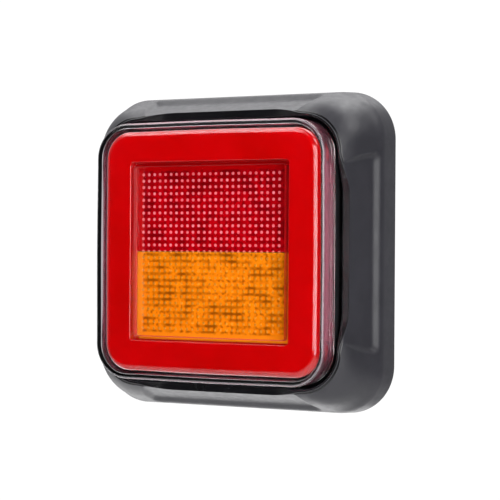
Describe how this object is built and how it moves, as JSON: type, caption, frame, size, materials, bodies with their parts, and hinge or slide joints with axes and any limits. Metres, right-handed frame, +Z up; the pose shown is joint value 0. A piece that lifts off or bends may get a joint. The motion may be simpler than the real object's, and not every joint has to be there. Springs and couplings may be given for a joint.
{
  "type": "trailer tail light",
  "caption": "Square trailer tail light: a clip-in lamp insert with a red glow ring, a red stop window and an amber turn window, in a flared surround bracket.",
  "frame": {"origin": "centre of the bracket's flat mounting face, which is also the centre of its screw holes", "axes": "+X right seen from the front, +Z up, and +Y points back into the panel the lamp is screwed to; the lamp shines along -Y"},
  "size_m": [0.124, 0.0375, 0.124],
  "materials": {
    "bracket_plastic": "satin, fine moulded texture",
    "latch_plastic": "satin",
    "clear_lens": "polished clear polycarbonate",
    "weld_seam": "matt weld bead",
    "housing_plastic": "satin",
    "red_frame": "polished translucent red",
    "milky_plastic": "milky diffuser",
    "white_plastic": "matt white",
    "red_window": "clear red",
    "amber_window": "clear amber",
    "reflector_metal": "vacuum metallised",
    "black_plastic": "matt",
    "board_laminate": "white solder mask",
    "red_led": "clear moulded LED",
    "amber_led": "phosphor-topped LED",
    "chip_black": "matt moulding compound",
    "resistor_black": "glazed film",
    "ceramic_tan": "fired ceramic",
    "can_aluminium": "satin",
    "terminal_brass": "plain",
    "screw_steel": "zinc plated",
    "grommet_rubber": "matt",
    "vent_patch": "porous membrane"
  },
  "bodies": {
    "bracket": {"mounting_bracket": "bracket_plastic", "latch_tongues": "latch_plastic"},
    "lamp_insert": {"outer_lens": "clear_lens", "lens_seal": "weld_seam", "lamp_housing": "housing_plastic", "glow_frame": "red_frame", "light_guide": "milky_plastic", "light_well": "white_plastic", "stop_window": "red_window", "turn_window": "amber_window", "stop_reflector": "reflector_metal", "turn_reflector": "reflector_metal", "light_divider": "black_plastic", "circuit_board": "board_laminate", "stop_leds": "red_led", "turn_leds": "amber_led", "tail_leds": "red_led", "driver_chips": "chip_black", "resistors": "resistor_black", "ceramic_capacitors": "ceramic_tan", "diodes": "chip_black", "surge_suppressor": "chip_black", "smoothing_capacitors": "can_aluminium", "wire_terminals": "terminal_brass", "board_screws": "screw_steel", "cable_grommet": "grommet_rubber", "breather_vent": "vent_patch"}
  },
  "joints": [
    {"name": "insert_release", "type": "slide", "parent": "bracket", "child": "lamp_insert", "axis": [0, -1, 0], "range_m": [0, 0.045], "deforming": ["latch_tongues"]}
  ]
}
